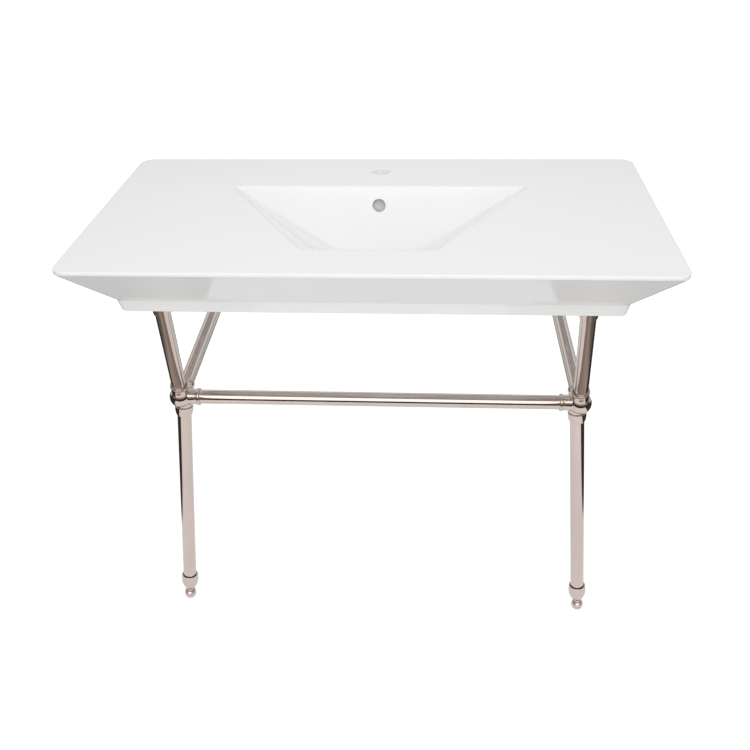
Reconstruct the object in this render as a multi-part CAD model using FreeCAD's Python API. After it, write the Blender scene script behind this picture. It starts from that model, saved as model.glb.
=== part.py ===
"""Console sink: a glazed basin carried by two splayed metal legs and rails to the wall.

Millimetres. X runs along the basin, Y towards the wall, Z up.  The origin is on the
floor, under the middle of the basin's plan.
"""
import FreeCAD, Part
import math
import os
from FreeCAD import Placement, Rotation, Vector

# Basin, outside
BASIN_WIDTH = 1000.0
BASIN_DEPTH = 560.0
DECK_HEIGHT = 900.0          # top of the deck above the floor
DECK_THICKNESS = 14.0
DECK_CORNER_RADIUS = 26.0
RIM_HEIGHT = 8.5
RIM_ROUNDING = 3.6
END_UNDERCUT = 69.0          # rim to crease, at the two ends
FRONT_UNDERCUT = 82.0        # rim to crease, at the front
CREASE_DROP = 90.0           # deck top to crease
BAND_HEIGHT = 23.0
BAND_DRAFT = 5.0
BODY_CORNER_RADIUS = 12.0
BACK_CORNER_RADIUS = 3.0
SHELL_THICKNESS = 11.0
BACK_WALL_THICKNESS = 14.0

# Bowl, measured at the deck
BOWL_BACK_FROM_WALL = 164.0
BOWL_FRONT_FROM_WALL = 464.0
BOWL_BACK_WIDTH = 560.0
BOWL_FRONT_WIDTH = 222.0
BOWL_DEPTH = 120.0
BOWL_BACK_LEAN = 12.0        # degrees from upright
BOWL_SIDE_LEAN = 46.0
BOWL_FRONT_LEAN = 35.0
BOWL_TOP_RADII = (6.0, 18.0)     # back corners, front corners
BOWL_FLOOR_RADII = (30.0, 12.0)
BOWL_FLOOR_ROUNDING = 8.0
BOWL_LIP_ROUNDING = 3.0
BOWL_FLOOR_THICKNESS = 12.0

# Holes in the basin
TAP_HOLE_RADIUS = 17.5
TAP_HOLE_FROM_WALL = 80.0
TAP_HOLE_ROUNDING = 1.5
OVERFLOW_RADIUS = 12.5
OVERFLOW_DROP = 36.0
WASTE_RADIUS = 22.5
WASTE_FROM_WALL = 258.0
WASTE_BOSS_WALL = 14.0
WASTE_BOSS_HEIGHT = 26.0
PASSAGE_WIDTH = 36.0         # overflow passage behind the bowl and under its floor
PASSAGE_THICKNESS = 12.0
PASSAGE_WALL = 8.0
WALL_BOLT_RADIUS = 6.0
WALL_BOLT_SPACING = 640.0
WALL_BOLT_DROP = 62.0

# Tubes
TUBE_RADIUS = 14.0
TUBE_WALL = 2.0
FIT = 0.1                    # radial clearance of a fixed fit
SEAT_DEPTH = 21.0            # how far a tube sits in its socket

# Side frames, right-hand side
JOINT_FROM_CENTRE = BASIN_WIDTH / 2 - 107.0
JOINT_FROM_WALL = 316.0
JOINT_HEIGHT = 517.0
STRUT_TOP_FROM_CENTRE = BASIN_WIDTH / 2 - 127.0
STRUT_TOP_FROM_WALL = 419.0
RAIL_END_FROM_CENTRE = STRUT_TOP_FROM_CENTRE     # rail's end at the wall
RAIL_END_HEIGHT = 582.0
LEG_INBOARD = 5.0            # leg axis inside the joint's centre
FOOT_FROM_CENTRE = BASIN_WIDTH / 2 - 69.0
FOOT_FROM_WALL = 343.0

# Joint casting
BALL_RADIUS = 23.0
SOCKET_START = 18.0          # tube end to the joint's centre
SOCKET_RADIUS = 16.4
BEAD_RADIUS = 17.6
BEAD_LENGTH = 5.0
BEAD_ROUNDING = 1.1
LEG_COLLAR_RADIUS = 18.2
LEG_COLLAR_MOUTH_RADIUS = 15.0
LEG_COLLAR_BELLY = 0.6       # how far the bell's bulge falls back half-way down
LEG_COLLAR_OVERLAP = 4.0     # how far the bell reaches up the ball
LEG_COLLAR_LENGTH = 17.0     # below the ball

# Flanges
STRUT_FLANGE_RADIUS = 33.0
STRUT_FLANGE_THICKNESS = 5.0
STRUT_PAD_THICKNESS = 2.0
STRUT_POST_RADIUS = 37.0
FLANGE_HUB_LENGTH = 22.0
STRUT_STOP = 6.0             # strut end below the flange's underside
WALL_FLANGE_RADIUS = 36.0
WALL_FLANGE_THICKNESS = 6.0
WALL_FLANGE_PCD = 56.0
WALL_FLANGE_HOLE_RADIUS = 2.75
WALL_FLANGE_HOLES = 3
RAIL_STOP = 4.0              # rail end in front of the wall flange's plate

# Screws
FLANGE_SCREW_PCD = 52.0
FLANGE_SCREWS = 3
SCREW_RADIUS = 2.3
SCREW_LENGTH = 26.0
SCREW_HEAD_RADIUS = 4.6
SCREW_HEAD_HEIGHT = 2.4
SCREW_CLEARANCE = 0.3
SCREW_SLOT = 1.0             # width and depth of the driver slot
GRUB_RADIUS = 2.0
GRUB_KEY_RADIUS = 0.9
GRUB_KEY_DEPTH = 1.0

# Levelling foot
FOOT_BALL_RADIUS = 12.6
FOOT_BALL_CENTRE = 11.3      # above the floor, along the leg
FOOT_NECK_RADIUS = 8.0
FOOT_NECK_TOP = 26.0
FOOT_CUP_HEIGHT = 39.0
FOOT_CUP_RIM_RADIUS = 17.0
FOOT_CUP_BULGE_RADIUS = 18.3
FOOT_CUP_BASE_RADIUS = 9.0
FOOT_CUP_BULGE_SHARE = 0.62  # how far up the cup its widest ring lies
FOOT_CUP_FLOOR = 13.0
FOOT_CUP_MOUTH_GAP = 1.8      # open ring between the cup's rim and the tube
FOOT_CUP_MOUTH_DEPTH = 9.0
FOOT_GAP = 0.4               # moving foot to fixed cup
STUD_RADIUS = 5.0
STUD_CLEARANCE = 0.08
STUD_LENGTH = 44.0
INSERT_LENGTH = 28.0
FOOT_TRAVEL = 12.0

WALL_Y = BASIN_DEPTH / 2
UP = Vector(0, 0, 1)
ALONG = Vector(1, 0, 0)
TO_WALL = Vector(0, 1, 0)


def from_wall(distance):
    """Y of a place that lies this far in front of the wall."""
    return WALL_Y - distance


def below_deck(drop):
    """Z of a place that lies this far below the deck's top."""
    return DECK_HEIGHT - drop


BAND_BOTTOM = below_deck(CREASE_DROP + BAND_HEIGHT)
JOINT = Vector(JOINT_FROM_CENTRE, from_wall(JOINT_FROM_WALL), JOINT_HEIGHT)
STRUT_TOP = Vector(STRUT_TOP_FROM_CENTRE, from_wall(STRUT_TOP_FROM_WALL), BAND_BOTTOM)
LEG_TOP = JOINT - ALONG * LEG_INBOARD
FOOT_POINT = Vector(FOOT_FROM_CENTRE, from_wall(FOOT_FROM_WALL), 0)
STRUT_AXIS = (STRUT_TOP - JOINT).normalize()
RAIL_TOP = Vector(RAIL_END_FROM_CENTRE, WALL_Y, RAIL_END_HEIGHT)
RAIL_AXIS = (RAIL_TOP - JOINT).normalize()
RAIL_END = RAIL_TOP - RAIL_AXIS * ((WALL_FLANGE_THICKNESS + RAIL_STOP) / RAIL_AXIS.y)
LEG_AXIS = (FOOT_POINT - LEG_TOP).normalize()
FLANGE_FACE = BAND_BOTTOM - STRUT_PAD_THICKNESS - STRUT_FLANGE_THICKNESS


def on_strut_at(height):
    """The point of the strut's axis at this height."""
    return JOINT + STRUT_AXIS * ((height - JOINT.z) / STRUT_AXIS.z)


FLANGE_CENTRE = on_strut_at(BAND_BOTTOM)
STRUT_END = on_strut_at(FLANGE_FACE - STRUT_STOP)


def placed(shape, origin, direction):
    """A shape made along +Z from zero, moved to start at origin and run along direction."""
    moved = shape.copy()
    moved.Placement = Placement(origin, Rotation(UP, direction)).multiply(shape.Placement)
    return moved


def rod(origin, direction, start, end, radius):
    """A round bar along direction, from start to end."""
    return Part.makeCylinder(radius, end - start, origin + direction * start, direction)


def rounded_outline(corners, radii, height):
    """A closed level outline through corners, each rounded by its own radius."""
    arcs = []
    for index, (x, y) in enumerate(corners):
        corner = Vector(x, y, height)
        before = Vector(*corners[index - 1], height)
        after = Vector(*corners[(index + 1) % len(corners)], height)
        to_before = (before - corner).normalize()
        to_after = (after - corner).normalize()
        half_angle = to_before.getAngle(to_after) / 2
        reach = radii[index] / math.tan(half_angle)
        bisector = (to_before + to_after).normalize()
        centre = corner + bisector * (radii[index] / math.sin(half_angle))
        arcs.append((corner + to_before * reach, centre - bisector * radii[index], corner + to_after * reach))
    edges = []
    for index, (start, middle, end) in enumerate(arcs):
        edges.append(Part.Arc(start, middle, end).toShape())
        edges.append(Part.LineSegment(end, arcs[(index + 1) % len(arcs)][0]).toShape())
    return Part.Wire(edges)


def loft(*outlines):
    """Straight-sided solids through the outlines, joined."""
    spans = [Part.makeLoft([outlines[i], outlines[i + 1]], True, True) for i in range(len(outlines) - 1)]
    return spans[0].multiFuse(spans[1:]) if len(spans) > 1 else spans[0]


def level_edges(shape, height, half_width, front, back):
    """Edges that lie level at a height, inside a plan rectangle."""
    chosen = []
    for edge in shape.Edges:
        box = edge.BoundBox
        level = abs(box.ZMin - height) < 0.01 and abs(box.ZMax - height) < 0.01
        inside = max(abs(box.XMin), abs(box.XMax)) < half_width and box.YMin > front and box.YMax < back
        if level and inside:
            chosen.append(edge)
    return chosen


def wall_run(run, drop, thickness):
    """Level width of a wall of this thickness that leans by run over drop."""
    return thickness * math.hypot(run, drop) / drop


def basin_outline(end_inset, front_inset, drop, front_radius, back_inset=0.0):
    """The basin's level outline, drawn in from its widest ends, front and back."""
    half = BASIN_WIDTH / 2 - end_inset
    front = -WALL_Y + front_inset
    back = WALL_Y - back_inset
    corners = [(-half, front), (half, front), (half, back), (-half, back)]
    radii = [front_radius, front_radius, BACK_CORNER_RADIUS, BACK_CORNER_RADIUS]
    return rounded_outline(corners, radii, below_deck(drop))


def basin_outside():
    """The deck slab, the sloping underside and the band, all solid."""
    half = BASIN_WIDTH / 2
    corners = [(-half, -WALL_Y), (half, -WALL_Y), (half, WALL_Y), (-half, WALL_Y)]
    outline = rounded_outline(corners, [DECK_CORNER_RADIUS] * 4, DECK_HEIGHT)
    slab = Part.Face(outline).extrude(UP * -RIM_HEIGHT)
    reach = half + 1
    rims = level_edges(slab, DECK_HEIGHT, reach, -reach, reach)
    rims += level_edges(slab, below_deck(RIM_HEIGHT), reach, -reach, reach)
    slab = slab.makeFillet(RIM_ROUNDING, rims)
    band_drop = CREASE_DROP + BAND_HEIGHT
    past_wall = -2 * BACK_CORNER_RADIUS
    under = loft(
        basin_outline(RIM_ROUNDING, RIM_ROUNDING, RIM_HEIGHT, DECK_CORNER_RADIUS, past_wall),
        basin_outline(END_UNDERCUT, FRONT_UNDERCUT, CREASE_DROP, BODY_CORNER_RADIUS, past_wall),
        basin_outline(END_UNDERCUT + BAND_DRAFT, FRONT_UNDERCUT + BAND_DRAFT, band_drop,
                      BODY_CORNER_RADIUS, past_wall))
    behind_wall = Part.makeBox(2 * reach, BASIN_DEPTH, DECK_HEIGHT, Vector(-reach, WALL_Y, 0))
    return slab, under.cut(behind_wall)


def basin_cavity():
    """The open space under the deck, inside the sloping sides and the band."""
    slope_drop = CREASE_DROP - RIM_HEIGHT
    end_wall = wall_run(END_UNDERCUT - RIM_ROUNDING, slope_drop, SHELL_THICKNESS)
    front_wall = wall_run(FRONT_UNDERCUT - RIM_ROUNDING, slope_drop, SHELL_THICKNESS)
    part_way = (DECK_THICKNESS - RIM_HEIGHT) / slope_drop
    end_top = RIM_ROUNDING + (END_UNDERCUT - RIM_ROUNDING) * part_way
    front_top = RIM_ROUNDING + (FRONT_UNDERCUT - RIM_ROUNDING) * part_way
    open_drop = CREASE_DROP + BAND_HEIGHT
    return loft(
        basin_outline(end_top + end_wall, front_top + front_wall, DECK_THICKNESS,
                      BODY_CORNER_RADIUS, BACK_WALL_THICKNESS),
        basin_outline(END_UNDERCUT + end_wall, FRONT_UNDERCUT + front_wall, CREASE_DROP,
                      BODY_CORNER_RADIUS, BACK_WALL_THICKNESS),
        basin_outline(END_UNDERCUT + BAND_DRAFT + SHELL_THICKNESS,
                      FRONT_UNDERCUT + BAND_DRAFT + SHELL_THICKNESS, open_drop,
                      BODY_CORNER_RADIUS, BACK_WALL_THICKNESS))


def bowl_outline(drop, radii, wall=0.0):
    """The bowl's level outline at a drop below the deck, or its outside with a wall."""
    back_lean = math.radians(BOWL_BACK_LEAN)
    side_lean = math.radians(BOWL_SIDE_LEAN)
    front_lean = math.radians(BOWL_FRONT_LEAN)
    length = BOWL_FRONT_FROM_WALL - BOWL_BACK_FROM_WALL
    taper = (BOWL_BACK_WIDTH - BOWL_FRONT_WIDTH) / 2 / length
    side_inset = (drop * math.tan(side_lean) - wall / math.cos(side_lean)) * math.hypot(1, taper)
    back = BOWL_BACK_FROM_WALL + drop * math.tan(back_lean) - wall / math.cos(back_lean)
    front = BOWL_FRONT_FROM_WALL - drop * math.tan(front_lean) + wall / math.cos(front_lean)
    back_half = BOWL_BACK_WIDTH / 2 - (back - BOWL_BACK_FROM_WALL) * taper - side_inset
    front_half = BOWL_FRONT_WIDTH / 2 + (BOWL_FRONT_FROM_WALL - front) * taper - side_inset
    corners = [(-front_half, from_wall(front)), (front_half, from_wall(front)),
               (back_half, from_wall(back)), (-back_half, from_wall(back))]
    corner_radii = [radii[1], radii[1], radii[0], radii[0]]
    return rounded_outline(corners, corner_radii, below_deck(drop))


def bowl_inside():
    """The space inside the bowl, with a rounded floor edge."""
    space = loft(bowl_outline(0, BOWL_TOP_RADII), bowl_outline(BOWL_DEPTH, BOWL_FLOOR_RADII))
    floor = below_deck(BOWL_DEPTH)
    return space.makeFillet(BOWL_FLOOR_ROUNDING, level_edges(space, floor, BASIN_WIDTH, -WALL_Y, WALL_Y))


def bowl_outside():
    """The bowl's outer body, under the deck."""
    start = DECK_THICKNESS / 2
    floor_outline = bowl_outline(BOWL_DEPTH, BOWL_FLOOR_RADII, SHELL_THICKNESS)
    walls = loft(bowl_outline(start, BOWL_TOP_RADII, SHELL_THICKNESS), floor_outline)
    floor = Part.Face(floor_outline).extrude(UP * -BOWL_FLOOR_THICKNESS)
    return walls.fuse(floor)


def passage_space(grow):
    """The overflow passage: down behind the bowl, then forward to the waste. Its housing when grown."""
    half = PASSAGE_WIDTH / 2 + grow
    under_floor = BOWL_DEPTH + BOWL_FLOOR_THICKNESS
    top = OVERFLOW_DROP - PASSAGE_WIDTH / 2 - grow
    bottom = under_floor + PASSAGE_THICKNESS + grow
    thick = PASSAGE_THICKNESS + 2 * grow
    down = Part.makeBox(2 * half, thick, bottom - top, Vector(-half, SHELL_THICKNESS - grow, -bottom))
    down.rotate(Vector(0, 0, 0), ALONG, -BOWL_BACK_LEAN)
    down.translate(Vector(0, from_wall(BOWL_BACK_FROM_WALL), DECK_HEIGHT))
    slab_bottom = below_deck(under_floor + PASSAGE_THICKNESS + grow)
    lean = math.radians(BOWL_BACK_LEAN)
    back = from_wall(BOWL_BACK_FROM_WALL) + SHELL_THICKNESS - under_floor * math.tan(lean)
    waste = from_wall(WASTE_FROM_WALL)
    forward = Part.makeBox(2 * half, back - waste + PASSAGE_THICKNESS / 2 + grow, thick,
                           Vector(-half, waste, slab_bottom))
    return down.fuse(forward)


def overflow_hole():
    """The round hole in the bowl's back wall, square to it."""
    lean = math.radians(BOWL_BACK_LEAN)
    mouth_from_wall = BOWL_BACK_FROM_WALL + OVERFLOW_DROP * math.tan(lean)
    mouth = Vector(0, from_wall(mouth_from_wall), below_deck(OVERFLOW_DROP))
    outward = Vector(0, -math.cos(lean), math.sin(lean))
    return rod(mouth, outward, -SHELL_THICKNESS - PASSAGE_THICKNESS / 2, SHELL_THICKNESS, OVERFLOW_RADIUS)


def circle_points(centre, count, pcd, first_angle):
    """Points on a level bolt circle."""
    points = []
    for index in range(count):
        angle = math.radians(first_angle + 360 * index / count)
        points.append(centre + Vector(math.cos(angle), math.sin(angle), 0) * (pcd / 2))
    return points


def mirrored(shape):
    """The left-hand twin of a right-hand shape."""
    return shape.mirror(Vector(0, 0, 0), ALONG)


def strut_screw_points():
    """Screw centres on the right-hand strut flange, at the band's bottom."""
    return circle_points(FLANGE_CENTRE, FLANGE_SCREWS, FLANGE_SCREW_PCD, 90)


def basin():
    """The one-piece ceramic basin."""
    slab, under = basin_outside()
    posts = []
    for shift in (FLANGE_CENTRE, Vector(-FLANGE_CENTRE.x, FLANGE_CENTRE.y, FLANGE_CENTRE.z)):
        post = Part.makeCylinder(STRUT_POST_RADIUS, DECK_HEIGHT - BAND_BOTTOM - RIM_HEIGHT / 2, shift)
        posts.append(post.common(under))
    waste = Vector(0, from_wall(WASTE_FROM_WALL), below_deck(BOWL_DEPTH))
    boss_drop = BOWL_FLOOR_THICKNESS + WASTE_BOSS_HEIGHT
    boss = rod(waste, -UP, BOWL_FLOOR_THICKNESS / 2, boss_drop, WASTE_RADIUS + WASTE_BOSS_WALL)
    body = slab.fuse(under.cut(basin_cavity()))
    body = body.multiFuse(posts + [bowl_outside(), passage_space(PASSAGE_WALL), boss])
    body = body.cut(bowl_inside())
    tap = Vector(0, from_wall(TAP_HOLE_FROM_WALL), DECK_HEIGHT)
    tap_hole = rod(tap, -UP, -1, DECK_THICKNESS + 1, TAP_HOLE_RADIUS)
    waste_hole = rod(waste, -UP, -1, boss_drop + 1, WASTE_RADIUS)
    cuts = [tap_hole, waste_hole, passage_space(0), overflow_hole()]
    for side in (-1, 1):
        bolt = Vector(side * WALL_BOLT_SPACING / 2, WALL_Y, below_deck(WALL_BOLT_DROP))
        cuts.append(rod(bolt, -TO_WALL, -1, BACK_WALL_THICKNESS + 1, WALL_BOLT_RADIUS))
    for point in strut_screw_points():
        hole = rod(point, UP, -1, SCREW_LENGTH, SCREW_RADIUS + SCREW_CLEARANCE)
        cuts += [hole, mirrored(hole)]
    for cut in cuts:
        body = body.cut(cut)
    body = body.removeSplitter()
    bowl_half = BOWL_BACK_WIDTH / 2 + 1
    lip = level_edges(body, DECK_HEIGHT, bowl_half, from_wall(BOWL_FRONT_FROM_WALL) - 1,
                      from_wall(BOWL_BACK_FROM_WALL) + 1)
    body = body.makeFillet(BOWL_LIP_ROUNDING, lip)
    tap_edge = level_edges(body, DECK_HEIGHT, TAP_HOLE_RADIUS + 1, tap.y - TAP_HOLE_RADIUS - 1,
                           tap.y + TAP_HOLE_RADIUS + 1)
    return body.makeFillet(TAP_HOLE_ROUNDING, tap_edge)


def tube(origin, direction, start, end):
    """A round tube along direction."""
    outer = rod(origin, direction, start, end, TUBE_RADIUS)
    return outer.cut(rod(origin, direction, start - 1, end + 1, TUBE_RADIUS - TUBE_WALL))


def socket_collar():
    """A plain collar with a rounded bead at its end, along +Z from the joint's centre."""
    end = SOCKET_START + SEAT_DEPTH
    neck = Part.makeCylinder(SOCKET_RADIUS, end - BEAD_LENGTH / 2)
    bead = Part.makeCylinder(BEAD_RADIUS, BEAD_LENGTH, Vector(0, 0, end - BEAD_LENGTH))
    circles = [e for e in bead.Edges if e.Length > 1.5 * math.pi * BEAD_RADIUS]
    bead = bead.makeFillet(BEAD_ROUNDING, circles)
    return neck.fuse(bead)


def leg_collar():
    """The bell-shaped collar under the ball, along +Z from the leg's top."""
    end = BALL_RADIUS + LEG_COLLAR_LENGTH
    shoulder = BALL_RADIUS - LEG_COLLAR_OVERLAP
    bottom = Vector(0, 0, 0)
    top = Vector(SOCKET_RADIUS, 0, 0)
    inner = Vector(SOCKET_RADIUS, 0, shoulder)
    brow = Vector(LEG_COLLAR_RADIUS, 0, shoulder + LEG_COLLAR_OVERLAP / 2)
    belly = Vector(LEG_COLLAR_RADIUS - LEG_COLLAR_BELLY, 0, (brow.z + end) / 2)
    mouth = Vector(LEG_COLLAR_MOUTH_RADIUS, 0, end)
    centre = Vector(0, 0, end)
    edges = [Part.LineSegment(bottom, top).toShape(),
             Part.LineSegment(top, inner).toShape(),
             Part.LineSegment(inner, brow).toShape(),
             Part.Arc(brow, belly, mouth).toShape(),
             Part.LineSegment(mouth, centre).toShape(),
             Part.LineSegment(centre, bottom).toShape()]
    return Part.Face(Part.Wire(edges)).revolve(Vector(0, 0, 0), UP, 360)


def sockets():
    """Origin, direction and length of each socket of the right-hand casting."""
    plain = SOCKET_START + SEAT_DEPTH
    return [(JOINT, STRUT_AXIS, plain), (JOINT, -ALONG, plain), (JOINT, RAIL_AXIS, plain),
            (LEG_TOP, LEG_AXIS, BALL_RADIUS + LEG_COLLAR_LENGTH)]


def joint_casting():
    """The ball with four sockets, each bored for its tube and drilled for its set screw."""
    body = Part.makeSphere(BALL_RADIUS, JOINT)
    for origin, direction, length in sockets():
        collar = leg_collar() if origin == LEG_TOP else socket_collar()
        body = body.fuse(placed(collar, origin, direction))
    for origin, direction, length in sockets():
        body = body.cut(rod(origin, direction, SOCKET_START, length + 1, TUBE_RADIUS + FIT))
    for centre, outward in set_screw_places():
        body = body.cut(rod(centre, outward, TUBE_RADIUS - 1, BEAD_RADIUS + 4, GRUB_RADIUS + FIT))
    return body


def set_screw_places():
    """Axis point and outward direction of each set screw, on the side away from the room."""
    places = []
    for origin, direction, length in sockets():
        away = -UP if direction == RAIL_AXIS else TO_WALL
        outward = (away - direction * away.dot(direction)).normalize()
        places.append((origin + direction * (length - SEAT_DEPTH / 2), outward))
    return places


def set_screw(centre, outward):
    """A set screw that bears on the tube, with a hexagon key socket."""
    body = rod(centre, outward, TUBE_RADIUS, SOCKET_RADIUS - 0.2, GRUB_RADIUS)
    hexagon = []
    for index in range(7):
        angle = math.radians(60 * index)
        hexagon.append(Vector(math.cos(angle), math.sin(angle), 0) * GRUB_KEY_RADIUS)
    key = Part.Face(Part.makePolygon(hexagon)).extrude(UP * GRUB_KEY_DEPTH)
    return body.cut(placed(key, centre + outward * (SOCKET_RADIUS - 0.2 - GRUB_KEY_DEPTH), outward))


def strut_flange():
    """The round plate under the basin with a slanted hub for the strut."""
    plate = Part.makeCylinder(STRUT_FLANGE_RADIUS, STRUT_FLANGE_THICKNESS,
                              Vector(FLANGE_CENTRE.x, FLANGE_CENTRE.y, FLANGE_FACE))
    hub = rod(STRUT_END, -STRUT_AXIS, -STRUT_STOP - STRUT_FLANGE_THICKNESS, FLANGE_HUB_LENGTH, SOCKET_RADIUS)
    reach = 4 * STRUT_FLANGE_RADIUS
    roof = Part.makeBox(2 * reach, 2 * reach, reach,
                        Vector(FLANGE_CENTRE.x - reach, FLANGE_CENTRE.y - reach,
                               FLANGE_FACE + STRUT_FLANGE_THICKNESS))
    body = plate.fuse(hub.cut(roof))
    body = body.cut(rod(STRUT_END, -STRUT_AXIS, 0, FLANGE_HUB_LENGTH + 1, TUBE_RADIUS + FIT))
    for point in strut_screw_points():
        face = Vector(point.x, point.y, FLANGE_FACE)
        body = body.cut(rod(face, UP, -1, STRUT_FLANGE_THICKNESS + 1, SCREW_RADIUS + SCREW_CLEARANCE))
        body = body.cut(screw_head(face, SCREW_CLEARANCE))
    return body


def strut_pad():
    """The rubber disc between the flange and the ceramic."""
    body = Part.makeCylinder(STRUT_FLANGE_RADIUS, STRUT_PAD_THICKNESS,
                             Vector(FLANGE_CENTRE.x, FLANGE_CENTRE.y, BAND_BOTTOM - STRUT_PAD_THICKNESS))
    for point in strut_screw_points():
        body = body.cut(rod(point, -UP, -1, STRUT_PAD_THICKNESS + 1, SCREW_RADIUS + SCREW_CLEARANCE))
    return body


def screw_head(face, grow):
    """A countersunk head whose flat side lies on the flange's underside."""
    return Part.makeCone(SCREW_HEAD_RADIUS + grow, SCREW_RADIUS + grow, SCREW_HEAD_HEIGHT, face)


def strut_screws():
    """The right-hand countersunk screws that hold the flange to the basin."""
    screws = []
    for point in strut_screw_points():
        face = Vector(point.x, point.y, FLANGE_FACE)
        slot = Part.makeBox(2 * SCREW_HEAD_RADIUS, SCREW_SLOT, SCREW_SLOT,
                            face - Vector(SCREW_HEAD_RADIUS, SCREW_SLOT / 2, 0))
        shank = rod(face, UP, SCREW_HEAD_HEIGHT / 2, SCREW_LENGTH, SCREW_RADIUS)
        screws.append(shank.fuse(screw_head(face, 0)).cut(slot))
    return screws


def wall_flange():
    """The round plate on the wall with a slanted hub for the rail and open screw holes."""
    plate = rod(RAIL_TOP, -TO_WALL, 0, WALL_FLANGE_THICKNESS, WALL_FLANGE_RADIUS)
    rim = [e for e in plate.Edges if abs(e.BoundBox.YMax - (WALL_Y - WALL_FLANGE_THICKNESS)) < 0.01]
    plate = plate.makeFillet(WALL_FLANGE_THICKNESS / 3, rim)
    reach = WALL_FLANGE_THICKNESS + RAIL_STOP + TUBE_RADIUS
    hub = rod(RAIL_END, -RAIL_AXIS, -reach, SEAT_DEPTH, SOCKET_RADIUS)
    behind = Part.makeBox(4 * reach, 4 * reach, 4 * reach, RAIL_TOP - Vector(2 * reach, 0, 2 * reach))
    body = plate.fuse(hub.cut(behind))
    body = body.cut(rod(RAIL_END, -RAIL_AXIS, 0, SEAT_DEPTH + 1, TUBE_RADIUS + FIT))
    for index in range(WALL_FLANGE_HOLES):
        angle = math.radians(90 + 360 * index / WALL_FLANGE_HOLES)
        place = RAIL_TOP + Vector(math.cos(angle), 0, math.sin(angle)) * (WALL_FLANGE_PCD / 2)
        body = body.cut(rod(place, -TO_WALL, -1, WALL_FLANGE_THICKNESS + 1, WALL_FLANGE_HOLE_RADIUS))
    return body


# Along the leg, measured up from the floor point
UP_LEG = -LEG_AXIS
CUP_BASE = FOOT_NECK_TOP + FOOT_GAP
TUBE_FOOT = CUP_BASE + FOOT_CUP_FLOOR
LEG_LENGTH = (FOOT_POINT - LEG_TOP).Length


def foot_cup():
    """The bulging cup fixed on the leg's lower end, its floor drilled for the stud."""
    top = CUP_BASE + FOOT_CUP_HEIGHT
    start = Vector(FOOT_CUP_BASE_RADIUS, 0, CUP_BASE)
    belly = Vector(FOOT_CUP_BULGE_RADIUS, 0, CUP_BASE + FOOT_CUP_HEIGHT * FOOT_CUP_BULGE_SHARE)
    rim = Vector(FOOT_CUP_RIM_RADIUS, 0, top)
    edges = [Part.Arc(start, belly, rim).toShape(),
             Part.LineSegment(rim, Vector(0, 0, top)).toShape(),
             Part.LineSegment(Vector(0, 0, top), Vector(0, 0, CUP_BASE)).toShape(),
             Part.LineSegment(Vector(0, 0, CUP_BASE), start).toShape()]
    body = Part.Face(Part.Wire(edges)).revolve(Vector(0, 0, 0), UP, 360)
    body = body.cut(Part.makeCylinder(TUBE_RADIUS + FIT, FOOT_CUP_HEIGHT, Vector(0, 0, TUBE_FOOT)))
    body = body.cut(Part.makeCylinder(TUBE_RADIUS + FOOT_CUP_MOUTH_GAP, FOOT_CUP_MOUTH_DEPTH + 1,
                                      Vector(0, 0, top - FOOT_CUP_MOUTH_DEPTH)))
    body = body.cut(Part.makeCylinder(STUD_RADIUS + STUD_CLEARANCE, TUBE_FOOT, Vector(0, 0, 0)))
    return placed(body, FOOT_POINT, UP_LEG)


def leg_insert():
    """The bush pressed into the leg's lower end, bored for the foot's stud."""
    radius = TUBE_RADIUS - TUBE_WALL - FIT
    body = Part.makeCylinder(radius, INSERT_LENGTH, Vector(0, 0, TUBE_FOOT))
    body = body.cut(Part.makeCylinder(STUD_RADIUS + STUD_CLEARANCE, 2 * INSERT_LENGTH + TUBE_FOOT))
    return placed(body, FOOT_POINT, UP_LEG)


def foot_ball():
    """The levelling foot: ball, neck and stud in one piece, cut flat where it meets the floor."""
    ball = Part.makeSphere(FOOT_BALL_RADIUS, Vector(0, 0, FOOT_BALL_CENTRE))
    neck = rod(Vector(0, 0, 0), UP, FOOT_BALL_CENTRE, FOOT_NECK_TOP, FOOT_NECK_RADIUS)
    stud = Part.makeCylinder(STUD_RADIUS, STUD_LENGTH + 1, Vector(0, 0, FOOT_NECK_TOP - 1))
    body = placed(ball.multiFuse([neck, stud]), FOOT_POINT, UP_LEG)
    reach = 4 * FOOT_BALL_RADIUS
    floor = Part.makeBox(2 * reach, 2 * reach, reach, FOOT_POINT - Vector(reach, reach, reach))
    return body.cut(floor)


def pair(name, shape):
    """A right-hand piece and its left-hand twin."""
    return {"right_" + name: shape, "left_" + name: mirrored(shape)}


def compound(solids):
    """Right-hand solids and their left-hand twins in one group."""
    return Part.makeCompound(solids + [mirrored(solid) for solid in solids])


def model():
    """Every piece of the console sink, by node name."""
    strut_length = (STRUT_END - JOINT).Length
    rail_length = (RAIL_END - JOINT).Length
    pieces = {"basin": basin()}
    pieces["stretcher_bar"] = tube(JOINT, -ALONG, SOCKET_START, 2 * JOINT_FROM_CENTRE - SOCKET_START)
    pieces.update(pair("joint_casting", joint_casting()))
    pieces.update(pair("front_strut", tube(JOINT, STRUT_AXIS, SOCKET_START, strut_length)))
    pieces.update(pair("strut_flange", strut_flange()))
    pieces.update(pair("strut_pad", strut_pad()))
    pieces.update(pair("wall_rail", tube(JOINT, RAIL_AXIS, SOCKET_START, rail_length)))
    pieces.update(pair("wall_flange", wall_flange()))
    pieces.update(pair("lower_leg", tube(LEG_TOP, LEG_AXIS, SOCKET_START, LEG_LENGTH - TUBE_FOOT)))
    pieces.update(pair("leg_insert", leg_insert()))
    pieces.update(pair("foot_cup", foot_cup()))
    pieces.update(pair("foot_ball", foot_ball()))
    pieces["strut_flange_screws"] = compound(strut_screws())
    pieces["socket_set_screws"] = compound([set_screw(*place) for place in set_screw_places()])
    return pieces


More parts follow.
